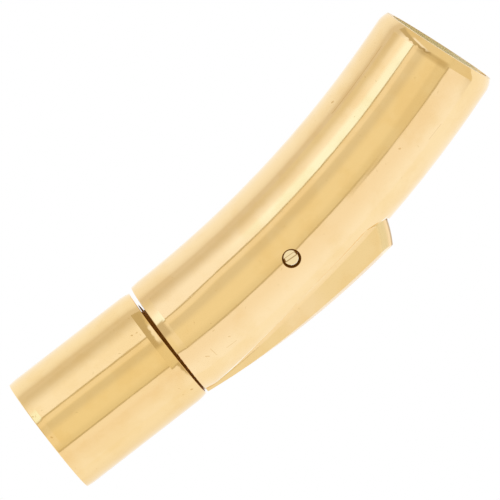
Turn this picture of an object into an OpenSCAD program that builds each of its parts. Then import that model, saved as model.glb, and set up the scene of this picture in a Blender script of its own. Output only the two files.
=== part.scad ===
// Curved tube clasp for a round cord, fastened and lying on its side.
// X runs along the plug and its stem, from close to the plug's face at the joint.
// The tube bends towards +Y, and the lever is on its outer side, towards -Y.

/* [Tube] */
// Outer diameter of the tube and of the plug
tube_d = 7; // [6.9:0.05:7.2]
// Radius of the tube's bent centreline
bend_r = 63; // [60:1:70]
// Direction of the tube's axis at its cord end, in degrees from the plug's axis
bend_angle = 19.45; // [19:0.05:20]
// Place along X where the bend starts
bend_x = 0.51; // [0.3:0.01:0.7]
// Offset of the tube's axis from the plug's axis, away from the lever
tube_offset = 0.15; // [0.05:0.01:0.2]
// Lean of the tube's mouth in degrees, which opens the joint on the inner side
mouth_skew = 1.5; // [1:0.1:3]
// Gap between plug and tube on the lever's side
mouth_gap = 0.07; // [0.04:0.01:0.15]

/* [Rims] */
// Rounding of the edges at the ends
edge_r = 0.07; // [0.05:0.01:0.1]
// Length of the polished roll at the plug's far rim
plug_roll_l = 0.7; // [0.6:0.05:0.8]
// Radius of that roll, seen in section
plug_roll_r = 6; // [5:0.5:8]
// Length of the roll at the plug's rim in the joint
joint_roll_l = 0.75; // [0.7:0.05:0.85]
// Radius of that roll
joint_roll_r = 3; // [2.5:0.1:3.5]
// Length of the roll at the tube's mouth
mouth_roll_l = 0.95; // [0.9:0.05:1.1]
// Radius of that roll
mouth_roll_r = 5; // [4.5:0.5:8]
// Length of the roll at the tube's cord end
cord_roll_l = 0.8; // [0.7:0.05:0.9]
// Radius of that roll
cord_roll_r = 1.6; // [1.5:0.1:2]

/* [Cord holes] */
// Diameter of both cord holes
cord_hole_d = 6; // [5.8:0.05:6.1]
// Depth of the cord hole in the plug
plug_hole_depth = 7.3; // [6.5:0.05:7.4]
// Depth of the cord hole in the tube
tube_hole_depth = 7.3; // [6.5:0.05:7.4]

/* [Plug] */
// Distance of the plug's far end from the origin of X
plug_l = 8.15; // [8:0.05:9]
// Place along X of the plug's face at the joint
face_x = 0.04; // [0:0.01:0.1]
// Diameter of the stem
stem_d = 4.4; // [4.2:0.05:4.4]
// Place along X of the stem's end
stem_l = 6.2; // [5.8:0.1:6.3]
// Length of the stem's tapered tip
tip_l = 0.7; // [0.4:0.1:1]
// Diameter of the stem's end
tip_d = 3.2; // [2.4:0.1:3.6]
// Place along X where the ring groove starts
groove_x = 1.15; // [1.1:0.01:1.2]
// Width of the ring groove
groove_w = 1.35; // [1.32:0.01:1.5]
// Diameter of the stem in the ring groove
groove_d = 2.8; // [2.4:0.1:2.8]
// Radial gap between the stem and its socket
stem_gap = 0.08; // [0.04:0.01:0.1]
// Place along X of the socket's end
socket_l = 6.5; // [6.4:0.05:6.6]

/* [Lever] */
// Width of the lever
lever_w = 2.9; // [2.7:0.05:3]
// Radius of the lever's outer face along its length
bow_r = 49.5; // [48:0.5:51]
// Radius of the lever's outer face across its width
crown_r = 5; // [4:0.1:6]
// Place along X of the outer face's highest point
bow_x = 6; // [5.8:0.1:6.2]
// Height of that point over the plug's axis
bow_h = 3.74; // [3.7:0.01:3.8]
// Place along X where the lever's width starts to narrow towards its nose
taper_x = 9.6; // [9:0.1:10]
// Radius of the narrowing sides, seen from the lever's side
taper_r = 30; // [28:1:34]
// Width of the nose
nose_w = 0.9; // [0.8:0.05:1.1]
// Place along X of the nose's front
nose_x = 0.17; // [0.15:0.01:0.2]
// Radius of the lever's tail end about the pin
tail_r = 5.56; // [5.5:0.01:5.6]
// Rounding of the tail's corners, seen from the lever's side
tail_corner_r = 0.8; // [0.6:0.05:0.9]
// Rounding of the tail's outer corner, seen along Z
heel_r = 0.3; // [0.2:0.05:0.4]
// Gap between the lever and its slot
slot_gap = 0.06; // [0.05:0.01:0.1]

/* [Pin] */
// Place of the pin along X
pin_x = 8.24; // [8.2:0.01:8.3]
// Place of the pin along Y
pin_y = -0.24; // [-0.3:0.01:-0.2]
// Diameter of the pin
pin_d = 0.83; // [0.78:0.01:0.88]
// Diameter of the hole that shows the pin's slotted end
pin_hole_d = 1.03; // [1.02:0.01:1.1]
// Distance of that hole's centre from the pin's, towards the lever's side
pin_hole_shift = 0.06; // [0:0.01:0.06]
// Radial gap of the pin in the lever, a running fit
pin_run_gap = 0.03; // [0.02:0.01:0.05]
// Width of the screwdriver slot
driver_slot_w = 0.2; // [0.1:0.02:0.24]
// Depth of the screwdriver slot
driver_slot_depth = 0.25; // [0.1:0.05:0.4]
// Direction of the screwdriver slot, in degrees from X
driver_slot_angle = -2.9; // [-20:0.1:20]
// Distance of the screwdriver slot from the pin's centre, away from the lever's side
driver_slot_shift = 0.05; // [0:0.01:0.1]

/* [Hidden] */
$fn = 180;
gold = [0.94, 0.77, 0.48];
lever_gold = [0.84, 0.68, 0.42];
pin_gold = [0.98, 0.86, 0.66];

tube_r = tube_d / 2;
cord_hole_r = cord_hole_d / 2;
stem_r = stem_d / 2;
socket_r = stem_r + stem_gap;
pin_r = pin_d / 2;
// Larger than the whole clasp: the size of the shapes that only trim others
reach = 40;

// Centre of the bend
bend_y = bend_r + tube_offset;

// How far the stem's shape reaches back into the cup's bottom
stem_root = 0.4;

// A rim's roll is drawn a little wide, so that it crosses the wall at a low angle
plug_over = 0.005;
end_over = 0.015;
mouth_over = 0.01;
edge_over = 0.002;
mouth_mid_x = face_x + mouth_gap + tube_r * tan(mouth_skew);

// The tube's cord hole is straight: its axis lies half way between the bend and its chord
hole_half_span = asin(tube_hole_depth / 2 / bend_r);
hole_angle = bend_angle - hole_half_span;
hole_mid_r = bend_r * (1 + cos(hole_half_span)) / 2;
hole_over = 0.6;

// Lever, seen along Z: the underside clears the stem, and the hook reaches into the groove
under_y = -stem_r - 0.2;
hook_y = -groove_d / 2 - 0.1;
hook_front_x = groove_x + 0.15;
hook_back_x = groove_x + groove_w - 0.3;
hook_ramp = 0.3;
boss_r = 0.9;
neck_x = pin_x - boss_r + 0.02;
tail_root_x = pin_x + 0.3;
tail_root_y = pin_y + 0.8;
tail_under_x = 13.4;
tail_under_y = -1.35;
beyond_x = 14;
beyond_y = -4.6;

// The hook's back lies on a circle about the pin, so that it leaves the groove freely
hook_back_r = norm([pin_x - hook_back_x, pin_y - hook_y]);
hook_top_x = pin_x - sqrt(pow(hook_back_r, 2) - pow(pin_y - under_y, 2));

// Centre of the rounding at the tail's outer corner, which meets the tail's end and the outer face
heel_over = 0.005;
heel_pin_r = tail_r + heel_over - heel_r;
heel_bow_r = bow_r + heel_over - heel_r;
bow_way = [bow_x - pin_x, bow_r - bow_h - pin_y];
bow_away = norm(bow_way);
heel_onward = (pow(heel_pin_r, 2) - pow(heel_bow_r, 2) + pow(bow_away, 2)) / (2 * bow_away);
heel_aside = sqrt(pow(heel_pin_r, 2) - pow(heel_onward, 2));
heel_x = pin_x + (bow_way[0] * heel_onward + bow_way[1] * heel_aside) / bow_away;
heel_y = pin_y + (bow_way[1] * heel_onward - bow_way[0] * heel_aside) / bow_away;

// Room for the lever: shallow over the socket, deep round the pin and under the tail
slot_front_x = -1;
slot_floor_y = -1.7;
room_x = pin_x - boss_r - 0.15;
room_floor_y = 0.82;
tail_gap = 0.1;
corner_over = 0.02;

// The pin's slotted end is just below the tube's wall where it stands
pin_axis_y = bend_y - bend_r * cos(asin((pin_x - bend_x) / bend_r));
pin_half_l = sqrt(pow(tube_r, 2) - pow(pin_axis_y - pin_y, 2)) - 0.1;
pin_press_gap = 0.01;
pin_chamfer = 0.02;

// Distance from the axis at which a rolled rim's edge rounding is centred
function edge_centre_r(roll_l, roll_r, over) =
    tube_r + over - roll_r + sqrt(pow(roll_r - edge_r, 2) - pow(roll_l - edge_r, 2)) + edge_over;

// Box of the whole clasp, which sets the origin at the middle of its base
cord_edge_r = edge_centre_r(cord_roll_l, cord_roll_r, end_over);
cord_roll_centre_r = tube_r + end_over - cord_roll_r;
x_low = -plug_l;
x_high = bend_x + (bend_r + cord_edge_r) * sin(bend_angle) + edge_r * (1 - cos(bend_angle));
y_low = -bow_h;
cord_roll_y = bend_y - (bend_r - cord_roll_centre_r) * cos(bend_angle) - cord_roll_l * sin(bend_angle);
y_high = cord_roll_y + cord_roll_r;

// Moves a shape made about the plug's axis into the clasp's frame
module in_frame() {
    translate([-(x_low + x_high) / 2, -(y_low + y_high) / 2, tube_r])
        children();
}

// Point on the bend at an angle from its start, where X is then the tube's direction
module on_bend(angle, radius = bend_r) {
    translate([bend_x + radius * sin(angle), bend_y - radius * cos(angle), 0])
        rotate([0, 0, angle])
            children();
}

// Turns a shape made about Z so that it stands along X
module along_x() {
    rotate([0, 90, 0])
        children();
}

// Trims a rod to a flat end whose wall rolls off to a rounded edge: it is at the origin and faces -X
module rim_trim(roll_l, roll_r, over) {
    radius = tube_r + over;
    edge_in = edge_centre_r(roll_l, roll_r, over);
    edge_top = roll_l - roll_r * (roll_l - edge_r) / (roll_r - edge_r);
    along_x()
        rotate_extrude()
            intersection() {
                union() {
                    translate([radius - roll_r, roll_l])
                        circle(roll_r);
                    polygon([
                        [0, 0],
                        [edge_in, 0],
                        [edge_in, roll_l],
                        [radius, roll_l],
                        [radius + reach, roll_l + reach],
                        [0, roll_l + reach]
                    ]);
                }
                union() {
                    square([edge_in, 2 * edge_r]);
                    translate([edge_in, edge_r])
                        circle(edge_r);
                    translate([0, edge_top])
                        square([2 * reach, 2 * reach]);
                }
            }
}

// Rod of the tube's diameter along the bend, longer than the tube at both ends
module bent_rod() {
    spare = 2;
    translate([bend_x, bend_y, 0])
        rotate([0, 0, -90 - spare])
            rotate_extrude(angle = bend_angle + 2 * spare)
                translate([bend_r, 0])
                    circle(tube_r);
}

// The lever seen from its own side: straight at the tail, narrowing in arcs to a blunt nose
module lever_outline(gap, front_x) {
    half = lever_w / 2 + gap;
    nose_half = nose_w / 2 + gap;
    intersection_for (side = [-1, 1])
        translate([taper_x, side * (taper_r - lever_w / 2)])
            circle(taper_r + gap);
    translate([taper_x, -half])
        square([beyond_x - taper_x, 2 * half]);
    translate([front_x, -nose_half])
        square([taper_x - front_x, 2 * nose_half]);
}

// Drum about the pin that bounds the lever's tail with rounded corners, and leaves the rest free
module swing_bound(gap, end_gap) {
    half = lever_w / 2 + gap + corner_over;
    radius = tail_r + end_gap;
    translate([pin_x, pin_y, 0])
        rotate_extrude()
            union() {
                translate([0, -half])
                    square([radius - tail_corner_r, 2 * half]);
                translate([0, tail_corner_r - half])
                    square([radius, 2 * (half - tail_corner_r)]);
                for (side = [-1, 1])
                    translate([radius - tail_corner_r, side * (half - tail_corner_r)])
                        circle(tail_corner_r);
            }
    translate([pin_x + boss_r / 2 - reach, -reach / 2, -reach / 2])
        cube([reach, reach, reach]);
}

// Gives a side view, drawn in X and Y, the lever's outline and tail end, or the same with a gap
module lever_blank(gap, end_gap, front_x) {
    intersection() {
        translate([0, 0, -tube_r])
            linear_extrude(tube_d)
                children();
        translate([0, tube_d, 0])
            rotate([90, 0, 0])
                linear_extrude(2 * tube_d)
                    lever_outline(gap, front_x);
        swing_bound(gap, end_gap);
    }
}

// Slot and inner room of the lever, seen along Z
module room_side() {
    polygon([
        [slot_front_x, beyond_y],
        [beyond_x, beyond_y],
        [beyond_x, room_floor_y],
        [room_x, room_floor_y],
        [room_x, slot_floor_y],
        [slot_front_x, slot_floor_y]
    ]);
}

// Lever seen along Z, from the nose over the hook and the pin's boss to the tail
module lever_side() {
    union() {
        polygon([
            [nose_x, beyond_y],
            [beyond_x, beyond_y],
            [beyond_x, tail_under_y],
            [tail_under_x, tail_under_y],
            [tail_root_x, tail_root_y],
            [neck_x, pin_y],
            [neck_x, under_y],
            [nose_x, under_y]
        ]);
        difference() {
            polygon([
                [hook_front_x, under_y - hook_ramp],
                [hook_top_x, under_y - hook_ramp],
                [hook_top_x, hook_y],
                [hook_front_x + hook_ramp, hook_y],
                [hook_front_x, hook_y - hook_ramp]
            ]);
            translate([pin_x, pin_y])
                circle(hook_back_r);
        }
        translate([pin_x, pin_y])
            circle(boss_r);
    }
}

// What the rounding takes off the tail's outer corner, seen along Z
module heel_waste() {
    heel = [heel_x, heel_y];
    end_way = (heel - [pin_x, pin_y]) / heel_pin_r;
    face_way = (heel - [bow_x, bow_r - bow_h]) / heel_bow_r;
    difference() {
        polygon([heel, heel + face_way, heel + face_way + end_way, heel + end_way]);
        translate(heel)
            circle(heel_r);
    }
}

// Solid ring segment whose outer face is the lever's bowed and crowned face
module crown_trim() {
    translate([bow_x, bow_r - bow_h, 0])
        rotate([0, 0, -110])
            rotate_extrude(angle = 40)
                translate([bow_r - crown_r, 0])
                    circle(crown_r);
}

// Curved barrel with its cord hole, the stem's socket, the lever's slot and the pin's holes
module tube() {
    color(gold)
        in_frame()
            difference() {
                intersection() {
                    bent_rod();
                    translate([mouth_mid_x + mouth_roll_l, tube_offset, 0])
                        rotate([0, 0, -mouth_skew])
                            translate([-mouth_roll_l, 0, 0])
                                rim_trim(mouth_roll_l, mouth_roll_r, mouth_over);
                    on_bend(bend_angle)
                        rotate([0, 0, 180])
                            rim_trim(cord_roll_l, cord_roll_r, end_over);
                }
                translate([-1, 0, 0])
                    along_x()
                        cylinder(r = socket_r, h = socket_l + 1);
                on_bend(hole_angle, hole_mid_r)
                    translate([-tube_hole_depth / 2, 0, 0])
                        along_x()
                            cylinder(r = cord_hole_r, h = tube_hole_depth + hole_over);
                lever_blank(slot_gap, tail_gap, slot_front_x)
                    room_side();
                translate([pin_x, pin_y - pin_hole_shift, 0])
                    cylinder(d = pin_hole_d, h = tube_d);
                translate([pin_x, pin_y, -tube_d])
                    cylinder(r = pin_r + pin_press_gap, h = tube_d);
            }
}

// Turned cup for the cord, with the stem that the lever holds by its ring groove
module plug() {
    color(gold)
        in_frame() {
            difference() {
                intersection() {
                    translate([-plug_l - 1, 0, 0])
                        along_x()
                            cylinder(r = tube_r, h = plug_l + 2);
                    translate([-plug_l, 0, 0])
                        rim_trim(plug_roll_l, plug_roll_r, plug_over);
                    translate([face_x, 0, 0])
                        rotate([0, 0, 180])
                            rim_trim(joint_roll_l, joint_roll_r, plug_over);
                }
                translate([-plug_l - 1, 0, 0])
                    along_x()
                        cylinder(r = cord_hole_r, h = plug_hole_depth + 1);
            }
            along_x()
                rotate_extrude()
                    difference() {
                        polygon([
                            [0, -stem_root],
                            [stem_r, -stem_root],
                            [stem_r, stem_l - tip_l],
                            [tip_d / 2, stem_l],
                            [0, stem_l]
                        ]);
                        translate([groove_d / 2, groove_x])
                            square([stem_r, groove_w]);
                    }
        }
}

// Trigger with a crowned outer face, a hook at its nose and a tail that stands proud of the tube
module lever() {
    color(lever_gold)
        in_frame()
            difference() {
                intersection() {
                    lever_blank(0, 0, nose_x)
                        lever_side();
                    crown_trim();
                }
                translate([0, 0, -tube_r])
                    linear_extrude(tube_d)
                        heel_waste();
                translate([pin_x, pin_y, -tube_r])
                    cylinder(r = pin_r + pin_run_gap, h = tube_d);
            }
}

// Pin that the lever turns on: its slotted end shows, its other end is plain
module pivot_pin() {
    color(pin_gold)
        in_frame()
            translate([pin_x, pin_y, 0])
                difference() {
                    rotate_extrude()
                        polygon([
                            [0, -pin_half_l],
                            [pin_r, -pin_half_l],
                            [pin_r, pin_half_l - pin_chamfer],
                            [pin_r - pin_chamfer, pin_half_l],
                            [0, pin_half_l]
                        ]);
                    rotate([0, 0, driver_slot_angle])
                        translate([
                            -pin_d,
                            driver_slot_shift - driver_slot_w / 2,
                            pin_half_l - driver_slot_depth
                        ])
                            cube([2 * pin_d, driver_slot_w, 2 * driver_slot_depth]);
                }
}

tube();
plug();
lever();
pivot_pin();
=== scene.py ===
import logging
import math
from abc import ABC, abstractmethod
from dataclasses import dataclass, field
from enum import Enum
from typing import Dict, List, Optional, Sequence, Tuple, Union

import bpy
from mathutils import Matrix, Vector

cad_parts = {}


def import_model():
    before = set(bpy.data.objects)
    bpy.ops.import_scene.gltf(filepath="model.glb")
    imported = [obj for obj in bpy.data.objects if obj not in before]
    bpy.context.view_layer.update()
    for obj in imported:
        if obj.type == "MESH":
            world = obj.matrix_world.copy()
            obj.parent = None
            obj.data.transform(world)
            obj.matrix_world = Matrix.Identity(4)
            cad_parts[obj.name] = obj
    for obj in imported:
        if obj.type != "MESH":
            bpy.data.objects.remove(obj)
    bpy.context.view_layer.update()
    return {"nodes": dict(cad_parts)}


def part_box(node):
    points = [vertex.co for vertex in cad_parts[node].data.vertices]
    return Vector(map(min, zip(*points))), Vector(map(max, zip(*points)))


LOG = logging.getLogger("cord_clasp")
MM = 0.001

Colour = Tuple[float, float, float]
Point = Tuple[float, float, float]
Place = Tuple[float, float]
Band = Tuple[float, float]
Feed = Union[float, Sequence[float], bpy.types.NodeSocket]

WHITE = (1.0, 1.0, 1.0, 1.0)
BLACK = (0.0, 0.0, 0.0, 1.0)

# The centre of the joint between plug and tube, in the row's frame, in millimetres.
# The materials and the camera measure from it, along the same axes.
JOINT_CENTRE: Point = (-7.2140, -1.5723, 3.5)
WALL_RADIUS = 3.5


class Gold(Enum):
    """Base colours of the plating, one for each piece of the clasp."""

    BARREL = (0.955, 0.712, 0.385)
    CUP = (0.952, 0.702, 0.355)
    TRIGGER = (0.955, 0.745, 0.455)
    PIN = (0.990, 0.860, 0.660)


def rgba(colour: Colour) -> Tuple[float, float, float, float]:
    """Gives a colour an alpha of one."""
    return (*colour, 1.0)


def short_of(limit: float, band: Band) -> Band:
    """Gives a band by its distances short of a limit."""
    return (limit - band[0], limit - band[1])


class Sheet:
    """A node tree with short ways to add and join its nodes."""

    def __init__(self, tree: bpy.types.NodeTree) -> None:
        """Takes a tree and empties it.

        Args:
            tree: The node tree of a material, a world or a group.
        """
        self.tree = tree
        tree.nodes.clear()

    def add(self, kind: str, **settings: object) -> bpy.types.Node:
        """Adds a node.

        Args:
            kind: Blender's name of the node type.
            settings: Properties to set on the node.

        Returns:
            The new node.
        """
        node = self.tree.nodes.new(kind)
        for name, value in settings.items():
            setattr(node, name, value)
        return node

    def feed(self, socket: bpy.types.NodeSocket, value: Feed) -> None:
        """Joins a socket to another one, or sets its value.

        Args:
            socket: The input.
            value: An output socket, or a constant.
        """
        if isinstance(value, bpy.types.NodeSocket):
            self.tree.links.new(value, socket)
        else:
            socket.default_value = value

    def math(self, operation: str, *values: Feed, clamp: bool = False) -> bpy.types.NodeSocket:
        """Adds a Math node.

        Args:
            operation: What it does.
            values: Its inputs in order.
            clamp: Whether the result stays within 0 and 1.

        Returns:
            Its output.
        """
        node = self.add("ShaderNodeMath", operation=operation, use_clamp=clamp)
        for place, value in enumerate(values):
            self.feed(node.inputs[place], value)
        return node.outputs[0]

    def times(self, *values: Feed) -> bpy.types.NodeSocket:
        """Multiplies any number of values.

        Args:
            values: The factors, two or more.

        Returns:
            Their product.
        """
        product = values[0]
        for value in values[1:]:
            product = self.math("MULTIPLY", product, value)
        return product

    def length(self, first: Feed, second: Feed) -> bpy.types.NodeSocket:
        """Gives the length of a way from its two parts at right angles."""
        return self.math("SQRT", self.math("ADD", self.times(first, first), self.times(second, second)))

    def vector(self, operation: str, *values: Feed) -> bpy.types.NodeSocket:
        """Adds a Vector Math node.

        Args:
            operation: What it does.
            values: Its inputs in order.

        Returns:
            Its vector output, or its number for a distance.
        """
        node = self.add("ShaderNodeVectorMath", operation=operation)
        for place, value in enumerate(values):
            if operation == "SCALE" and place == 1:
                self.feed(node.inputs["Scale"], value)
            else:
                self.feed(node.inputs[place], value)
        return node.outputs["Value" if operation == "DISTANCE" else "Vector"]

    def split(self, vector: Feed) -> Tuple[bpy.types.NodeSocket, ...]:
        """Takes a vector apart.

        Args:
            vector: The vector.

        Returns:
            Its three parts.
        """
        node = self.add("ShaderNodeSeparateXYZ")
        self.feed(node.inputs[0], vector)
        return tuple(node.outputs)

    def join(self, *parts: Feed) -> bpy.types.NodeSocket:
        """Makes a vector.

        Args:
            parts: Its three parts.

        Returns:
            The vector.
        """
        node = self.add("ShaderNodeCombineXYZ")
        for place, value in enumerate(parts):
            self.feed(node.inputs[place], value)
        return node.outputs[0]

    def away(self, x: Feed, y: Feed, centre: Place) -> bpy.types.NodeSocket:
        """Gives the distance from a centre in the plane."""
        return self.vector("DISTANCE", self.join(x, y, 0.0), (*centre, 0.0))

    def ramp(self, value: Feed, band: Sequence[Feed], levels: Band = (0.0, 1.0)) -> bpy.types.NodeSocket:
        """Goes smoothly from one level to another.

        Args:
            value: The value to read.
            band: Where it leaves the first level, and where it reaches the second.
            levels: The two levels.

        Returns:
            The level at the value.
        """
        node = self.add("ShaderNodeMapRange", interpolation_type="SMOOTHSTEP", clamp=True)
        self.feed(node.inputs["Value"], value)
        for name, item in zip(("From Min", "From Max", "To Min", "To Max"), (*band, *levels)):
            self.feed(node.inputs[name], item)
        return node.outputs["Result"]

    def fade(self, value: Feed, band: Sequence[Feed]) -> bpy.types.NodeSocket:
        """Goes smoothly from one down to zero over a band."""
        return self.ramp(value, band, (1.0, 0.0))

    def mix(self, share: Feed, first: Feed, second: Feed, blend: str = "MIX") -> bpy.types.NodeSocket:
        """Mixes two colours.

        Args:
            share: How much of the second colour shows.
            first: The first colour.
            second: The second colour.
            blend: How they mix.

        Returns:
            The mixed colour.
        """
        node = self.add("ShaderNodeMix", data_type="RGBA", blend_type=blend, clamp_factor=True)
        self.feed(node.inputs["Factor"], share)
        colours = [socket for socket in node.inputs if socket.type == "RGBA"]
        self.feed(colours[0], first)
        self.feed(colours[1], second)
        return next(socket for socket in node.outputs if socket.type == "RGBA")

    def noise(self, place: Feed, scale: float, detail: float, rough: float) -> bpy.types.NodeSocket:
        """Adds a noise between 0 and 1.

        Args:
            place: Where it is read.
            scale: How fine it is, per millimetre.
            detail: How many finer layers it has.
            rough: How strong those are.

        Returns:
            The noise's value.
        """
        node = self.add("ShaderNodeTexNoise")
        self.feed(node.inputs["Vector"], place)
        for name, value in (("Scale", scale), ("Detail", detail), ("Roughness", rough)):
            self.feed(node.inputs[name], value)
        return node.outputs["Fac"]

    def group(self, tree: bpy.types.NodeTree, **values: Feed) -> bpy.types.Node:
        """Places a group.

        Args:
            tree: The group's tree.
            values: Its inputs.

        Returns:
            The group's node.
        """
        node = self.add("ShaderNodeGroup", node_tree=tree)
        for name, value in values.items():
            self.feed(node.inputs[name], value)
        return node

    def seen_white(self, kind: str, light: Feed) -> bpy.types.NodeSocket:
        """Makes a light that the camera sees as plain white, and the metal as it is.

        Args:
            kind: Blender's name of the shader: Background or Emission.
            light: The colour that the metal reflects.

        Returns:
            The shader.
        """
        shaders = []
        for colour in (light, WHITE):
            node = self.add(kind)
            self.feed(node.inputs["Color"], colour)
            shaders.append(node.outputs[0])
        both = self.add("ShaderNodeMixShader")
        self.feed(both.inputs["Fac"], self.add("ShaderNodeLightPath").outputs["Is Camera Ray"])
        self.feed(both.inputs[1], shaders[0])
        self.feed(both.inputs[2], shaders[1])
        return both.outputs[0]

    def put_out(self, kind: str, shader: Feed) -> None:
        """Adds the output node of a material or a world."""
        self.feed(self.add(kind).inputs["Surface"], shader)


class Effect:
    """A shader node group with named inputs and outputs, built once."""

    KINDS = {"value": "NodeSocketFloat", "place": "NodeSocketVector"}

    def __init__(self, name: str, inputs: Dict[str, str], outputs: Sequence[str]) -> None:
        """Makes the group's tree and its sockets.

        Args:
            name: The group's name.
            inputs: The kind of each input, by name.
            outputs: The names of its outputs, which are values.
        """
        self.tree = bpy.data.node_groups.new(name, "ShaderNodeTree")
        for label, kind in inputs.items():
            self.tree.interface.new_socket(name=label, in_out="INPUT", socket_type=self.KINDS[kind])
        for label in outputs:
            self.tree.interface.new_socket(name=label, in_out="OUTPUT", socket_type=self.KINDS["value"])
        self.sheet = Sheet(self.tree)
        self.given = self.sheet.add("NodeGroupInput").outputs
        self.result = self.sheet.add("NodeGroupOutput").inputs


def round_place_effect() -> bpy.types.NodeTree:
    """Builds the group that measures a point round the axis of a round wall.

    Returns:
        A group that puts out the distance from the axis and the way round the wall from its top.
    """
    effect = Effect("Round place", {"Across": "value", "Up": "value"}, ("Off Axis", "Round"))
    s = effect.sheet
    across, up = effect.given["Across"], effect.given["Up"]
    s.feed(effect.result["Off Axis"], s.length(across, up))
    turn = s.math("ARCTAN2", s.times(across, -1.0), up)
    s.feed(effect.result["Round"], s.times(turn, WALL_RADIUS))
    return effect.tree


@dataclass(frozen=True)
class Noise:
    """A noise: its stretch along the piece's axes, its scale per millimetre and its finer layers."""

    scale: float
    detail: float
    rough: float
    stretch: Point = (1.0, 1.0, 1.0)

    def read(self, s: Sheet, place: Feed) -> bpy.types.NodeSocket:
        """Reads the noise, between 0 and 1, at a place in millimetres."""
        return s.noise(s.vector("MULTIPLY", place, self.stretch), self.scale, self.detail, self.rough)


@dataclass(frozen=True)
class PolishMarks:
    """What polishing and use leave on plated metal, with sizes in millimetres."""

    waves: Noise = Noise(0.55, 2.0, 0.45, (0.35, 0.8, 0.8))
    grain: Noise = Noise(1.0, 3.0, 0.6, (0.5, 9.0, 9.0))
    clouds: Noise = Noise(0.45, 4.0, 0.6)
    cells: float = 0.8
    hair_width: Band = (0.006, 0.018)
    hair_length: Band = (0.02, 0.12)
    hair_luck: Band = (0.76, 0.78)
    dot_size: Band = (0.02, 0.06)
    dot_luck: Band = (0.80, 0.82)
    depth: float = 0.004

    def build(self) -> bpy.types.NodeTree:
        """Builds the group.

        Returns:
            A group that puts out a height in millimetres, a mask of clouds and a mask of fine marks.
        """
        effect = Effect(
            "Polish marks",
            {"Place": "place", "Along": "value", "Round": "value",
             "Waves": "value", "Grain": "value", "Marks": "value"},
            ("Height", "Cloud", "Marks"),
        )
        s, given = effect.sheet, effect.given
        waves = s.math("SUBTRACT", self.waves.read(s, given["Place"]), 0.5)
        grain = s.math("SUBTRACT", self.grain.read(s, given["Place"]), 0.5)
        marks = s.times(self.fine_marks(s, given["Along"], given["Round"]), given["Marks"])
        height = s.math("MULTIPLY_ADD", grain, given["Grain"], s.times(waves, given["Waves"]))
        s.feed(effect.result["Height"], s.math("MULTIPLY_ADD", marks, -self.depth, height))
        s.feed(effect.result["Cloud"], self.clouds.read(s, given["Place"]))
        s.feed(effect.result["Marks"], marks)
        return effect.tree

    def fine_marks(self, s: Sheet, along: Feed, round_way: Feed) -> bpy.types.NodeSocket:
        """Places a hair, a dot or nothing in each cell of the wall.

        Args:
            s: The group's sheet.
            along: Way along the piece.
            round_way: Way round its wall.

        Returns:
            One on a mark.
        """
        cells = s.add("ShaderNodeTexVoronoi", voronoi_dimensions="2D", feature="F1")
        s.feed(cells.inputs["Vector"], s.join(along, round_way, 0.0))
        s.feed(cells.inputs["Scale"], self.cells)
        turn_luck, hair_luck, dot_luck = s.split(cells.outputs["Color"])
        there = s.split(cells.outputs["Position"])
        run, rise = s.math("SUBTRACT", along, there[0]), s.math("SUBTRACT", round_way, there[1])
        turn = s.times(turn_luck, math.pi)
        slope, level = s.math("SINE", turn), s.math("COSINE", turn)
        beside = s.math("ABSOLUTE", s.math("SUBTRACT", s.times(run, slope), s.times(rise, level)))
        onward = s.math("ABSOLUTE", s.math("ADD", s.times(run, level), s.times(rise, slope)))
        hair = s.times(s.fade(beside, self.hair_width), s.fade(onward, self.hair_length))
        dot = s.fade(s.math("ADD", beside, onward), self.dot_size)
        return s.math("MAXIMUM", s.times(hair, s.ramp(hair_luck, self.hair_luck)),
                      s.times(dot, s.ramp(dot_luck, self.dot_luck)))


def scratch_effect() -> bpy.types.NodeTree:
    """Builds the group of one straight scratch between two places of the wall.

    Returns:
        A group that puts out one on the scratch.
    """
    effect = Effect(
        "Scratch",
        {"Place": "place", "Start": "place", "End": "place", "Width": "value"},
        ("Mask",),
    )
    s, given = effect.sheet, effect.given
    way = s.vector("SUBTRACT", given["End"], given["Start"])
    gone = s.vector("SUBTRACT", given["Place"], given["Start"])
    parts = s.split(s.vector("MULTIPLY", gone, way))
    squares = s.split(s.vector("MULTIPLY", way, way))
    covered, whole = s.math("ADD", parts[0], parts[1]), s.math("ADD", squares[0], squares[1])
    share = s.math("DIVIDE", covered, whole, clamp=True)
    away = s.vector("DISTANCE", gone, s.vector("SCALE", way, share))
    core = s.times(given["Width"], 0.3)
    s.feed(effect.result["Mask"], s.fade(away, (core, given["Width"])))
    return effect.tree


class Effects:
    """The shared effects, each built once."""

    def __init__(self) -> None:
        """Builds every group."""
        self.round_place = round_place_effect()
        self.polish_marks = PolishMarks().build()
        self.scratch = scratch_effect()


@dataclass(frozen=True)
class Scratch:
    """A scratch or nick, by its ends along the piece and round its wall in millimetres."""

    start: Place
    end: Place
    width: float
    strength: float


@dataclass(frozen=True)
class Tint:
    """A tint that sets in over a band."""

    band: Band
    colour: Colour


@dataclass(frozen=True)
class Coat:
    """A zone's own base colour and roughness."""

    colour: Colour
    roughness: float


@dataclass(frozen=True)
class PlatedFinish:
    """Polished gold-coloured plating with the marks of use."""

    gold: Gold
    roughness: float = 0.07
    waves: float = 0.008
    grain: float = 0.0010
    marks: float = 0.35
    mark_tint: Colour = (0.72, 0.60, 0.42)
    mark_roughness: float = 0.2
    cloud: Tint = Tint((0.42, 0.66), (0.975, 0.945, 0.88))
    cloud_roughness: float = 0.02
    # painted shade for crevices (dark brown, rough), and a faint painted glow (emission) within them
    crevice_shade: Coat = Coat((0.30, 0.13, 0.02), 0.8)
    crevice_glow: Colour = (0.050, 0.019, 0.001)


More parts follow.
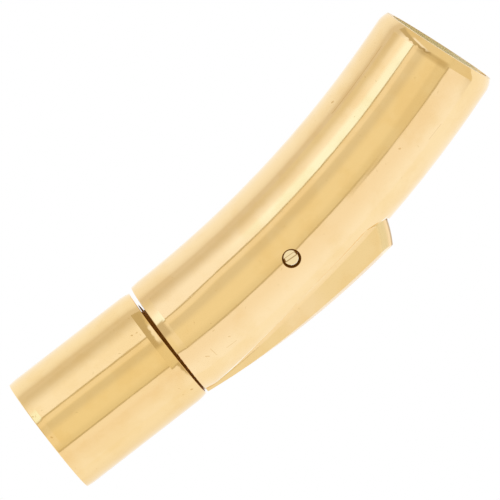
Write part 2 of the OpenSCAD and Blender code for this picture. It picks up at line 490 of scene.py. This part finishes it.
class PlatedSurface:
    """The node tree of one piece's plating."""

    def __init__(self, name: str, finish: PlatedFinish, effects: Effects) -> None:
        """Starts a material.

        Args:
            name: The material's name.
            finish: Its finish.
            effects: The shared effects.
        """
        self.finish = finish
        self.effects = effects
        self.material = bpy.data.materials.new(name)
        self.material.use_nodes = True
        self.sheet = Sheet(self.material.node_tree)
        where = self.sheet.add("ShaderNodeTexCoord")
        self.normal = where.outputs["Normal"]
        millimetres = self.sheet.vector("SCALE", where.outputs["Object"], 1.0 / MM)
        self.point = self.sheet.vector("SUBTRACT", millimetres, JOINT_CENTRE)
        self.colour: Feed = rgba(finish.gold.value)
        self.metallic: Feed = 1.0
        self.painted_glow: Feed = BLACK
        self.height: Feed = 0.0
        self.roughness: Feed = finish.roughness
        self.leaning: Optional[bpy.types.NodeSocket] = None

    def round_place(self, across: Feed, up: Feed) -> Tuple[bpy.types.NodeSocket, bpy.types.NodeSocket]:
        """Measures the distance from the wall's axis and the way round the wall.

        Args:
            across: Way from the axis towards the inner side.
            up: Way up from the axis.

        Returns:
            The distance and the way round.
        """
        node = self.sheet.group(self.effects.round_place, Across=across, Up=up)
        return node.outputs["Off Axis"], node.outputs["Round"]

    def polish(self, place: Feed, along: Feed, round_way: Feed, wavy: Feed = 1.0) -> None:
        """Adds waves, grain, fine marks and clouds of wear.

        Args:
            place: Where the clouds are read, in millimetres.
            along: Way along the piece.
            round_way: Way round its wall.
            wavy: How much of the waves and the grain shows.
        """
        s, look = self.sheet, self.finish
        worn = s.group(self.effects.polish_marks, Place=place, Along=along, Round=round_way,
                       Waves=s.times(wavy, look.waves), Grain=s.times(wavy, look.grain), Marks=look.marks)
        cloud = s.ramp(worn.outputs["Cloud"], look.cloud.band)
        self.tint(cloud, look.cloud.colour)
        self.height = s.math("ADD", self.height, worn.outputs["Height"])
        self.roughness = s.math("MULTIPLY_ADD", cloud, look.cloud_roughness, self.roughness)
        self.mark(worn.outputs["Marks"])

    def tint(self, mask: Feed, colour: Colour) -> None:
        """Multiplies the colour where a mask is one.

        Args:
            mask: Where.
            colour: By what.
        """
        s = self.sheet
        self.colour = s.mix(mask, self.colour, s.mix(1.0, self.colour, rgba(colour), "MULTIPLY"))

    def recolour(self, mask: Feed, colour: Colour) -> None:
        """Gives a zone its own colour."""
        self.colour = self.sheet.mix(mask, self.colour, rgba(colour))

    def paint(self, mask: Feed, coat: Coat) -> None:
        """Gives a zone its own colour and roughness.

        Args:
            mask: Where.
            coat: The colour and the roughness.
        """
        s = self.sheet
        self.recolour(mask, coat.colour)
        rougher = s.math("SUBTRACT", coat.roughness, self.roughness)
        self.roughness = s.math("ADD", self.roughness, s.times(mask, rougher))

    def mark(self, mask: Feed) -> None:
        """Darkens and dulls scratches."""
        self.tint(mask, self.finish.mark_tint)
        self.roughness = self.sheet.math("MULTIPLY_ADD", mask, self.finish.mark_roughness, self.roughness)

    def scratch(self, along: Feed, round_way: Feed, scratches: Sequence[Scratch]) -> None:
        """Adds single scratches.

        Args:
            along: Way along the piece.
            round_way: Way round its wall.
            scratches: The scratches.
        """
        s = self.sheet
        place = s.join(along, round_way, 0.0)
        for item in scratches:
            node = s.group(self.effects.scratch, Place=place, Width=item.width,
                           Start=(*item.start, 0.0), End=(*item.end, 0.0))
            self.mark(s.times(node.outputs["Mask"], item.strength))

    def paint_crevice_shade(self, mask: Feed) -> None:
        """Paints shade into a crevice: a dark brown, rough colour that is not metal, with a faint painted
        glow from within.

        Args:
            mask: One in the crevice.
        """
        self.paint(mask, self.finish.crevice_shade)
        # painted glow: a faint emission where the crevice is painted dark
        self.painted_glow = self.sheet.mix(mask, self.painted_glow, rgba(self.finish.crevice_glow))
        self.metallic = self.sheet.math("SUBTRACT", self.metallic, mask, clamp=True)

    def lean(self, axis: Feed, slope: Feed) -> None:
        """Turns the wall's normals about an axis, as of a tube slightly out of round.

        Args:
            axis: The axis.
            slope: By how much.
        """
        s = self.sheet
        beside = s.vector("CROSS_PRODUCT", axis, self.normal)
        turned = s.vector("ADD", self.normal, s.vector("SCALE", beside, slope))
        self.leaning = s.vector("NORMALIZE", turned)

    def done(self) -> bpy.types.Material:
        """Adds the shader and its output.

        Returns:
            The finished material.
        """
        s = self.sheet
        bump = s.add("ShaderNodeBump")
        bump.inputs["Distance"].default_value = MM
        bump.inputs["Strength"].default_value = 1.0
        s.feed(bump.inputs["Height"], self.height)
        if self.leaning is not None:
            s.feed(bump.inputs["Normal"], self.leaning)
        shader = s.add("ShaderNodeBsdfPrincipled")
        s.feed(shader.inputs["Base Color"], self.colour)
        s.feed(shader.inputs["Metallic"], self.metallic)
        s.feed(shader.inputs["Roughness"], self.roughness)
        s.feed(shader.inputs["Emission Color"], self.painted_glow)
        shader.inputs["Emission Strength"].default_value = 1.0
        s.feed(shader.inputs["Normal"], bump.outputs["Normal"])
        s.put_out("ShaderNodeOutputMaterial", shader.outputs["BSDF"])
        return self.material


@dataclass(frozen=True)
class JointShade:
    """Painted shade in the joint: deep on the inner side, up to the wall on the lever's side."""

    sides: Band = (-1.2, 0.6)
    radii: Band = (3.34, 2.65)
    edge: float = 0.14

    def mask(self, s: Sheet, across: Feed, off: Feed) -> bpy.types.NodeSocket:
        """Masks the depth that gets painted shade.

        Args:
            s: The material's sheet.
            across: Way from the axis towards the inner side.
            off: Distance from the axis.

        Returns:
            One where the joint gets painted shade.
        """
        limit = s.ramp(across, self.sides, self.radii)
        return s.fade(off, (s.math("SUBTRACT", limit, self.edge), limit))


@dataclass
class Piece(ABC):
    """One piece of the clasp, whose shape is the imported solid."""

    node: str
    effects: Effects
    finish: PlatedFinish
    shape: bpy.types.Object = field(init=False)

    def build(self, nodes: Dict[str, bpy.types.Object]) -> None:
        """Takes the piece's solid.

        Args:
            nodes: The frame's solids by name.
        """
        self.shape = nodes[self.node]
        low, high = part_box(self.node)
        size = (high - low) / MM
        LOG.info("%s: %.2f x %.2f x %.2f mm, %d faces", self.node, *size, len(self.shape.data.polygons))

    def dress(self) -> None:
        """Gives the solid its finished plating."""
        skin = PlatedSurface(self.node + "_plating", self.finish, self.effects)
        self.lay(skin)
        material = skin.done()
        for slot in self.shape.material_slots:
            slot.material = material
        LOG.info("%s: dressed in %s", self.node, material.name)

    @abstractmethod
    def lay(self, skin: PlatedSurface) -> None:
        """Adds to the plating what is the piece's own."""


@dataclass(frozen=True)
class OutOfRound:
    """How far the tube is out of round, by ways along it and round its wall in millimetres."""

    inner_edge: Band = (-2.7, -1.5)
    middle: Band = (-1.3, 0.6)
    lever_edge: Band = (1.1, 2.3)
    inner_growth: Band = (0.9, 5.2)
    inner_slope: float = 0.056
    lever_growth: Band = (3.0, 10.5)
    lever_slopes: Band = (0.021, 0.047)

    def slope(self, s: Sheet, along: Feed, round_way: Feed) -> bpy.types.NodeSocket:
        """Gives the slope by which the wall's normals lean.

        Args:
            s: The material's sheet.
            along: Way along the tube.
            round_way: Way round its wall.

        Returns:
            The slope.
        """
        inner = s.times(s.ramp(round_way, self.inner_edge, (0.0, self.inner_slope)),
                        s.fade(round_way, self.middle), s.ramp(along, self.inner_growth))
        lever = s.times(s.ramp(round_way, self.middle), s.fade(round_way, self.lever_edge),
                        s.ramp(along, self.lever_growth, self.lever_slopes))
        return s.math("ADD", inner, lever)


@dataclass(frozen=True)
class SlotReflection:
    """The pale strip beside the slot's upper edge, a painted reflection where the wall mirrors the lever's
    flank, in millimetres.

    It runs from the lever's nose to a slanted end behind the tail, where only its upper part is left.
    """

    colour: Colour = (1.0, 0.96, 0.82)
    slot_share: float = 0.83
    upper_side: Band = (0.0, 0.3)
    width: Band = (0.765, 0.80)
    flank: Band = (-2.2, -2.6)
    nose: Band = (0.6, 1.0)
    tail: Band = (13.20, 13.28)
    tail_slant: float = 1.83
    full_height: Band = (9.0, 10.0)
    upper_part: Band = (1.1, 1.4)

    def mask(self, s: Sheet, along: Feed, across: Feed, up: Feed, slot_half: Feed) -> bpy.types.NodeSocket:
        """Masks the strip of painted reflection.

        Args:
            s: The material's sheet.
            along: Way along the tube.
            across: Way from its axis towards the inner side.
            up: Way up from its axis.
            slot_half: Half the slot's width there.

        Returns:
            One on the strip.
        """
        from_slot = s.math("SUBTRACT", up, s.times(slot_half, self.slot_share))
        slanted = s.math("MULTIPLY_ADD", from_slot, self.tail_slant, along)
        height = s.math("MAXIMUM", s.fade(along, self.full_height), s.ramp(up, self.upper_part))
        return s.times(s.ramp(up, self.upper_side), s.fade(from_slot, self.width),
                       s.ramp(across, self.flank), s.ramp(along, self.nose),
                       s.fade(slanted, self.tail), height)


@dataclass(frozen=True)
class EndWearAndShading:
    """The matt rim at the cord end, the matt hole wall made paler as painted light, and a spot of painted
    shade before the rim, in millimetres.

    Places along the tube are distances before its end, and the hole's inner end one from the joint.
    """

    # painted shade: the colour of the dark spot before the rim
    spot: Colour = (0.76, 0.72, 0.64)
    spot_start: Band = (0.9, 0.65)
    spot_end: Band = (0.5, 0.35)
    spot_low: Band = (-1.4, -0.6)
    spot_high: Band = (0.7, 1.1)
    rim: Coat = Coat((0.86, 0.64, 0.36), 0.38)
    rim_face: Band = (0.03, 0.01)
    rim_wall: Band = (3.36, 3.42)
    # matt, and paler as painted light
    hole: Coat = Coat((0.95, 0.86, 0.58), 0.5)
    hole_end: Band = (12.0, 13.0)
    hole_mouth: Band = (0.04, 0.02)
    hole_wall: Band = (3.03, 3.05)


@dataclass
class Barrel(Piece):
    """The bent tube: its wall, its mouth at the joint and its cord end."""

    bend_x: float = 0.51
    bend_y: float = 63.15
    bend_radius: float = 63.0
    cord_end: float = 21.897
    slot_half: float = 1.45
    taper_x: float = 9.6
    taper_radius: float = 30.0
    pin_hole: Place = (8.24, -0.30)
    pin_hole_radius: float = 0.515
    pin_hole_edge: Band = (0.004, 0.02)
    pin_hole_upper: Band = (0.5, 1.0)
    mouth_calm: Band = (0.3, 1.6)
    end_calm: Band = (1.6, 0.8)
    joint_reach: Band = (1.2, 2.0)
    out_of_round: OutOfRound = OutOfRound()
    slot_reflection: SlotReflection = SlotReflection()
    end_wear_and_shading: EndWearAndShading = EndWearAndShading()
    joint_shade: JointShade = JointShade()
    scratches: Tuple[Scratch, ...] = (
        Scratch((15.5, -3.00), (20.2, -3.02), 0.04, 0.5),
        Scratch((15.97, -3.60), (16.04, -3.55), 0.10, 0.7),
        Scratch((16.28, 1.38), (16.33, 1.42), 0.07, 0.6),
        Scratch((17.6, 2.58), (18.6, 2.62), 0.04, 0.3),
        Scratch((1.30, 1.90), (1.45, 2.05), 0.05, 0.5),
        Scratch((1.75, 1.72), (1.80, 2.30), 0.035, 0.4),
        Scratch((2.45, 2.35), (3.05, 2.40), 0.04, 0.35),
        Scratch((2.9, 1.85), (2.95, 1.90), 0.05, 0.5),
    )

    def lay(self, skin: PlatedSurface) -> None:
        """Adds polish, scratches, a matt end with a spot of painted shade and a hole wall paled by painted
        light, a painted reflection beside the slot and painted shade in the crevices.

        Args:
            skin: The tube's plating.
        """
        s = skin.sheet
        x, y, z = s.split(skin.point)
        side, drop = s.math("SUBTRACT", x, self.bend_x), s.math("SUBTRACT", self.bend_y, y)
        turn = s.math("ARCTAN2", side, drop)
        along = s.math("MULTIPLY_ADD", turn, self.bend_radius, self.bend_x)
        across = s.math("SUBTRACT", self.bend_radius, s.length(side, drop))
        off, round_way = skin.round_place(across, z)
        before_end = s.fade(along, short_of(self.cord_end, self.end_calm))
        wavy = s.times(s.ramp(along, self.mouth_calm), before_end)
        skin.polish(s.join(along, across, z), along, round_way, wavy)
        skin.scratch(along, round_way, self.scratches)
        axis = s.join(s.math("COSINE", turn), s.math("SINE", turn), 0.0)
        skin.lean(axis, self.out_of_round.slope(s, along, round_way))
        self.lay_end(skin, along, off, round_way)
        # painted reflection: the strip where the wall mirrors the lever's flank is coloured pale
        worn = self.slot_reflection.mask(s, along, across, z, self.slot_half_at(s, x))
        skin.recolour(worn, self.slot_reflection.colour)
        # painted shade deep in the joint at the tube's mouth
        skin.paint_crevice_shade(s.times(self.joint_shade.mask(s, across, off), s.fade(along, self.joint_reach)))
        # painted shade in the gap round the pin, on the pin hole's upper part
        edge = tuple(self.pin_hole_radius + past for past in self.pin_hole_edge)
        hole_shade = s.fade(s.away(x, y, self.pin_hole), edge)
        skin.paint_crevice_shade(s.times(hole_shade, s.ramp(z, self.pin_hole_upper)))

    def slot_half_at(self, s: Sheet, x: Feed) -> bpy.types.NodeSocket:
        """Gives half the slot's width, which tapers to the nose on an arc.

        Args:
            s: The material's sheet.
            x: Way along the plug's axis.

        Returns:
            Half the width.
        """
        short = s.math("MAXIMUM", s.math("SUBTRACT", self.taper_x, x), 0.0)
        fall = s.math("DIVIDE", s.times(short, short), 2 * self.taper_radius)
        return s.math("SUBTRACT", self.slot_half, fall)

    def lay_end(self, skin: PlatedSurface, along: Feed, off: Feed, round_way: Feed) -> None:
        """Makes the cord end's flat rim matt, makes the cord hole's wall matt and paler as painted light,
        and paints shade on a spot before the rim.

        Args:
            skin: The tube's plating.
            along: Way along the tube.
            off: Distance from its axis.
            round_way: Way round its wall.
        """
        s, wear, end = skin.sheet, self.end_wear_and_shading, self.cord_end
        spot = s.times(s.ramp(along, short_of(end, wear.spot_start)),
                       s.fade(along, short_of(end, wear.spot_end)),
                       s.ramp(round_way, wear.spot_low), s.fade(round_way, wear.spot_high))
        # painted shade on the spot before the rim
        skin.tint(spot, wear.spot)
        at_end = s.ramp(along, short_of(end, wear.rim_face))
        skin.paint(s.times(at_end, s.fade(off, wear.rim_wall)), wear.rim)
        in_hole = s.times(s.ramp(along, wear.hole_end), s.fade(off, wear.hole_wall),
                          s.fade(along, short_of(end, wear.hole_mouth)))
        # painted light: the hole's wall is paler, as well as matt
        skin.paint(in_hole, wear.hole)


@dataclass
class Plug(Piece):
    """The turned cup and the stem that reaches into the tube."""

    cloud_shift: Point = (31.0, 7.0, 0.0)
    joint_calm: Band = (-1.8, -0.5)
    joint_face: Band = (0.0, 0.02)
    joint_shade: JointShade = JointShade()
    tints: Tuple[Tint, ...] = (
        Tint((1.15, 1.45), (0.975, 0.955, 0.93)),
        Tint((3.0, 3.8), (0.96, 0.945, 0.90)),
    )
    scratches: Tuple[Scratch, ...] = (
        Scratch((-1.15, -1.78), (-1.10, -1.74), 0.06, 0.7),
        Scratch((-0.85, -1.72), (-0.80, -1.70), 0.05, 0.6),
        Scratch((-0.75, -1.50), (-0.72, -1.46), 0.04, 0.5),
        Scratch((-0.42, 2.98), (-0.36, 3.04), 0.07, 0.8),
        Scratch((-0.95, 2.90), (-0.90, 2.92), 0.05, 0.5),
        Scratch((-7.92, -0.04), (-7.88, 0.02), 0.06, 0.6),
        Scratch((-8.05, -1.58), (-8.02, -1.54), 0.06, 0.6),
    )

    def lay(self, skin: PlatedSurface) -> None:
        """Adds polish, scratches, the lever side's paler tints and painted shade in the joint.

        Args:
            skin: The plug's plating.
        """
        s = skin.sheet
        x, y, z = s.split(skin.point)
        off, round_way = skin.round_place(y, z)
        place = s.vector("ADD", skin.point, self.cloud_shift)
        skin.polish(place, x, round_way, s.fade(x, self.joint_calm))
        skin.scratch(x, round_way, self.scratches)
        for tint in self.tints:
            skin.tint(s.ramp(round_way, tint.band), tint.colour)
        # painted shade deep in the joint at the plug's face
        skin.paint_crevice_shade(s.times(self.joint_shade.mask(s, y, off), s.ramp(x, self.joint_face)))


@dataclass
class Trigger(Piece):
    """The lever with its hooked nose and proud tail. The tail's bands are distances before its end."""

    pin: Place = (8.24, -0.24)
    hub_radius: float = 0.6
    hub_edge: float = 0.05
    tail_radius: float = 5.56
    tail_start: float = 9.0
    flank_normal: Band = (0.60, 0.80)
    # the crown is rougher, and its darker colour is painted shade
    crown_matt_and_shade: Coat = Coat((0.90, 0.65, 0.34), 0.22)
    tail_band: Band = (0.8, 0.5)
    # painted light: the tail's end is paler, as well as rougher
    tail: Coat = Coat((1.0, 0.84, 0.57), 0.28)
    # a painted orange highlight, then a dark line of painted shade at the very end
    tail_highlight_and_shade: Tuple[Tint, ...] = (
        Tint((0.30, 0.18), (0.98, 0.87, 0.74)),
        Tint((0.11, 0.06), (0.60, 0.53, 0.42)),
    )
    cloud_shift: Point = (3.0, 51.0, 2.0)

    def lay(self, skin: PlatedSurface) -> None:
        """Adds polished flanks, a softer crown darkened by painted shade, a tail end paled by painted
        light with a painted highlight and a dark line of painted shade at its end, and painted shade round
        the pin.

        Args:
            skin: The lever's plating.
        """
        s = skin.sheet
        x, y, z = s.split(skin.point)
        away = s.away(x, y, self.pin)
        flat = s.ramp(s.math("ABSOLUTE", s.split(skin.normal)[2]), self.flank_normal)
        # painted shade: faces that don't face up or down are coloured darker, and made rougher
        skin.paint(s.math("SUBTRACT", 1.0, flat), self.crown_matt_and_shade)
        behind = s.ramp(x, (self.pin[0], self.tail_start))
        # painted light on the tail's end
        tail_painted_light_mask = s.ramp(away, short_of(self.tail_radius, self.tail_band))
        skin.paint(s.times(tail_painted_light_mask, behind), self.tail)
        # painted highlight and painted shade line at the tail's end
        for tint in self.tail_highlight_and_shade:
            at_end = s.ramp(away, short_of(self.tail_radius, tint.band))
            skin.tint(s.times(at_end, behind), tint.colour)
        # painted shade in the lever's hole round the pin
        skin.paint_crevice_shade(s.fade(away, (self.hub_radius, self.hub_radius + self.hub_edge)))
        round_way = s.math("ADD", y, s.times(z, 2.0))
        skin.polish(s.vector("ADD", skin.point, self.cloud_shift), x, round_way)


@dataclass
class PivotPin(Piece):
    """The pin whose slotted end shows in the tube's wall."""

    centre: Place = (8.24, -0.24)
    radius: float = 0.415
    face: float = 3.291
    slot_width: float = 0.2
    slot_angle: float = -2.9
    slot_shift: float = 0.05
    slot_line: Band = (0.012, 0.035)
    slot_edge_shade: Colour = (0.45, 0.33, 0.20)
    slot_line_share: float = 0.75
    slot_end: Band = (0.10, 0.06)
    slot_end_edge: float = 0.03
    side_edge: Band = (0.012, 0.004)
    side_depth: Band = (0.03, 0.07)
    cloud_shift: Point = (17.0, 23.0, 5.0)

    def lay(self, skin: PlatedSurface) -> None:
        """Adds painted shade on the sides, faint lines of painted shade at the driver slot's edges and
        painted shade in the slot's ends.

        Args:
            skin: The pin's plating.
        """
        s = skin.sheet
        x, y, z = s.split(skin.point)
        skin.polish(s.vector("ADD", skin.point, self.cloud_shift), x, y)
        run, rise = s.math("SUBTRACT", x, self.centre[0]), s.math("SUBTRACT", y, self.centre[1])
        angle, slot_half = math.radians(self.slot_angle), self.slot_width / 2
        beside = s.math("SUBTRACT", s.times(rise, math.cos(angle)), s.times(run, math.sin(angle)))
        from_middle = s.math("ABSOLUTE", s.math("SUBTRACT", beside, self.slot_shift))
        from_edge = s.math("ABSOLUTE", s.math("SUBTRACT", from_middle, slot_half))
        # painted shade: faint dark lines along the slot's edges, where its walls are seen edge-on
        skin.tint(s.times(s.fade(from_edge, self.slot_line), self.slot_line_share), self.slot_edge_shade)
        away = s.length(run, rise)
        # painted shade in the slot's ends and on the pin's sides down in the hole
        shaded_slot_ends = s.times(s.ramp(away, short_of(self.radius, self.slot_end)),
                            s.fade(from_middle, (slot_half - self.slot_end_edge, slot_half)))
        sides = s.times(s.ramp(away, short_of(self.radius, self.side_edge)),
                        s.ramp(z, short_of(self.face, self.side_depth)))
        skin.paint_crevice_shade(s.math("MAXIMUM", shaded_slot_ends, sides))


# Edges that several of the studio's panels share, as bands of roll or reach in degrees
NO_LOW: Band = (-300.0, -299.0)
NO_HIGH: Band = (299.0, 300.0)
CEILING_LOW: Band = (-33.6, -32.6)
CEILING_HIGH: Band = (29.8, 30.8)
STRIP_LOW: Band = (-86.0, -56.0)
STRIP_HIGH: Band = (-36.4, -35.4)
WALL_START: Band = (-50.0, -40.0)


@dataclass(frozen=True)
class Panel:
    """One light panel or wall of the studio, by its roll and reach in degrees.

    Roll is the turn about the plug's axis from straight up, towards the lever's side. Reach is the
    rise out of the plane across the plug, towards the tube's cord end. Each edge is a soft band.
    """

    name: str
    colour: Colour
    low: Band
    high: Band
    start: Band = (-91.0, -90.5)
    end: Band = (90.5, 91.0)

    def mask(self, s: Sheet, roll: Feed, reach: Feed) -> bpy.types.NodeSocket:
        """Masks the panel.

        Args:
            s: The world's sheet.
            roll: Roll of a direction in degrees.
            reach: Its reach in degrees.

        Returns:
            One on the panel.
        """
        return s.times(s.ramp(roll, self.low), s.fade(roll, self.high),
                       s.ramp(reach, self.start), s.fade(reach, self.end))


@dataclass(frozen=True)
class PanelBend:
    """How the panels' long edges bend a little towards the tube's ends, in degrees."""

    inner_start: float = 3.7
    inner_length: float = 12.0
    inner_share: float = 0.2
    inner_side: Band = (-20.0, -10.0)
    lever_reach: Band = (3.9, 6.0)
    lever_turn: float = 6.8
    lever_side: Band = (8.0, 20.0)

    def roll(self, s: Sheet, roll: Feed, reach: Feed) -> bpy.types.NodeSocket:
        """Gives the roll at which the panels are read.

        Args:
            s: The world's sheet.
            roll: Roll of a direction in degrees.
            reach: Its reach in degrees.

        Returns:
            The bent roll.
        """
        past = s.math("MAXIMUM", s.math("SUBTRACT", s.times(reach, -1.0), self.inner_start), 0.0)
        inner = s.times(s.math("MINIMUM", past, self.inner_length), self.inner_share,
                        s.fade(roll, self.inner_side))
        lever = s.times(s.ramp(reach, self.lever_reach, (0.0, self.lever_turn)),
                        s.ramp(roll, self.lever_side))
        return s.math("SUBTRACT", s.math("SUBTRACT", roll, inner), lever)


@dataclass
class Studio:
    """The soft studio light: a world of pale panels round the clasp."""

    room: Colour = (0.60, 0.53, 0.37)
    bend: PanelBend = PanelBend()
    panels: List[Panel] = field(default_factory=lambda: [
        Panel("near wall", (0.74, 0.69, 0.56), NO_LOW, NO_HIGH, end=WALL_START),
        Panel("inner wall", (0.75, 0.71, 0.64), NO_LOW, (-60, -50), WALL_START, (2.5, 5.5)),
        Panel("inner wall middle", (0.82, 0.78, 0.66), NO_LOW, (-60, -50), WALL_START, (-14, -6)),
        Panel("ceiling", (0.92, 0.86, 0.665), CEILING_LOW, CEILING_HIGH, (-91, -90), (3, 6)),
        Panel("ceiling middle", (0.95, 0.90, 0.765), CEILING_LOW, CEILING_HIGH, (-19, -16), (-10, -5)),
        Panel("shade", (0.785, 0.735, 0.595), (-26, -20), (-14, 0), end=(3, 6)),
        Panel("shade middle", (0.84, 0.80, 0.68), (-26, -20), (-14, 0), end=(-10, -5)),
        Panel("ceiling edge", (0.95, 0.90, 0.78), CEILING_LOW, (-27, -21), end=(3, 6)),
        Panel("strip", (1.04, 1.07, 1.16), STRIP_LOW, STRIP_HIGH, WALL_START, (2, 5)),
        Panel("strip end", (1.04, 1.03, 1.00), STRIP_LOW, STRIP_HIGH, WALL_START, (-20, -9)),
        Panel("strip centre", (1.06, 1.28, 1.47), (-62, -50), STRIP_HIGH, (-25, -10), (-8.5, -5.2)),
        Panel("dark corner", (0.70, 0.63, 0.49), (-112, -92), (-12, -4), end=(-21, -18.5)),
        Panel("dark edge", (0.66, 0.60, 0.47), (-41.5, -38), (-12, -4), end=(-15, -12.5)),
        Panel("far wall", (0.84, 0.78, 0.60), NO_LOW, NO_HIGH, (19.5, 21.5)),
        Panel("far wall, inner", (0.80, 0.72, 0.52), NO_LOW, (-50, -40), (15, 18)),
        Panel("ceiling end", (0.86, 0.80, 0.61), (-12, -2), CEILING_HIGH, (2, 6)),
        Panel("ceiling rim", (0.82, 0.765, 0.58), (13, 31), CEILING_HIGH),
        Panel("side light", (0.99, 0.965, 0.95), (32.6, 33.6), NO_HIGH, end=(15.5, 17.5)),
        Panel("side light height", (1.04, 1.08, 1.17), (43, 80), NO_HIGH, end=(15.5, 17.5)),
        Panel("far lamp", (1.03, 1.06, 1.15), (-58, -48), (-20, -8), (14.5, 17), (20, 24)),
    ])

    def build(self) -> None:
        """Makes the world. The camera sees plain white, and the metal reflects the panels."""
        world = bpy.data.worlds.new("soft_studio")
        bpy.context.scene.world = world
        world.use_nodes = True
        s = Sheet(world.node_tree)
        x, y, z = s.split(s.add("ShaderNodeTexCoord").outputs["Generated"])
        reach = s.times(s.math("ARCSINE", x), math.degrees(1.0))
        roll = s.times(s.math("ARCTAN2", s.times(y, -1.0), z), math.degrees(1.0))
        roll = self.bend.roll(s, roll, reach)
        colour: Feed = rgba(self.room)
        for panel in self.panels:
            colour = s.mix(panel.mask(s, roll, reach), colour, rgba(panel.colour))
        s.put_out("ShaderNodeOutputWorld", s.seen_white("ShaderNodeBackground", colour))
        LOG.info("studio: %s", ", ".join(panel.name for panel in self.panels))


@dataclass
class PaleFloor:
    """The white table that the clasp lies on. The pool of light on it fades towards the inner side."""

    half_side: float = 4.0
    drop: float = 0.00002
    near_colour: Colour = (1.03, 1.06, 1.10)
    far_colour: Colour = (0.78, 0.74, 0.68)
    pool_edge: Band = (5.0, 40.0)

    def build(self) -> None:
        """Makes the floor: white to the camera, and a pool of light to the metal."""
        mesh = bpy.data.meshes.new("floor")
        a = self.half_side
        mesh.from_pydata([(-a, -a, 0), (a, -a, 0), (a, a, 0), (-a, a, 0)], [], [(0, 1, 2, 3)])
        floor = bpy.data.objects.new("floor", mesh)
        floor.location.z = -self.drop
        bpy.context.scene.collection.objects.link(floor)
        material = bpy.data.materials.new("pale_floor")
        material.use_nodes = True
        s = Sheet(material.node_tree)
        place = s.vector("SCALE", s.add("ShaderNodeTexCoord").outputs["Object"], 1.0 / MM)
        y = s.split(s.vector("SUBTRACT", place, JOINT_CENTRE))[1]
        pool = s.mix(s.ramp(y, self.pool_edge), rgba(self.near_colour), rgba(self.far_colour))
        s.put_out("ShaderNodeOutputMaterial", s.seen_white("ShaderNodeEmission", pool))
        mesh.materials.append(material)
        LOG.info("floor: %.1f m square", 2 * self.half_side)


@dataclass
class PhotoCamera:
    """The camera nearly straight above the clasp, turned as in the photograph."""

    aim: Point = (6.64, 1.26, 0.0)
    turn: float = 37.85
    lean: Place = (0.0335, 0.053)
    distance: float = 1.2
    frame_width: float = 27.03
    sensor: float = 36.0
    clip: Band = (0.01, 20.0)

    def build(self) -> None:
        """Makes the camera and sets it as the scene's."""
        data = bpy.data.cameras.new("camera")
        data.sensor_width = self.sensor
        data.lens = self.sensor * self.distance / (self.frame_width * MM)
        data.clip_start, data.clip_end = self.clip
        camera = bpy.data.objects.new("camera", data)
        bpy.context.scene.collection.objects.link(camera)
        aim = (Vector(self.aim) + Vector(JOINT_CENTRE)) * MM
        back = Vector((*self.lean, 1.0)).normalized()
        angle = math.radians(self.turn)
        right = Vector((math.cos(angle), -math.sin(angle), 0.0))
        right = (right - back * right.dot(back)).normalized()
        turned = Matrix((right, back.cross(right), back)).transposed()
        camera.matrix_world = Matrix.Translation(aim + back * self.distance) @ turned.to_4x4()
        bpy.context.scene.camera = camera
        LOG.info("camera: lens %.0f mm at %.2f m", data.lens, self.distance)


def main() -> None:
    """Builds the scene piece by piece."""
    logging.basicConfig(level=logging.INFO, format="%(message)s")
    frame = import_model()
    bpy.context.scene.view_settings.view_transform = "Standard"
    effects = Effects()
    pieces = (
        Barrel("tube", effects, PlatedFinish(Gold.BARREL)),
        Plug("plug", effects, PlatedFinish(Gold.CUP)),
        Trigger("lever", effects, PlatedFinish(Gold.TRIGGER)),
        PivotPin("pivot_pin", effects, PlatedFinish(Gold.PIN)),
    )
    for piece in pieces:
        piece.build(frame["nodes"])
        piece.dress()
    PaleFloor().build()
    Studio().build()
    PhotoCamera().build()


if __name__ == "__main__":
    main()
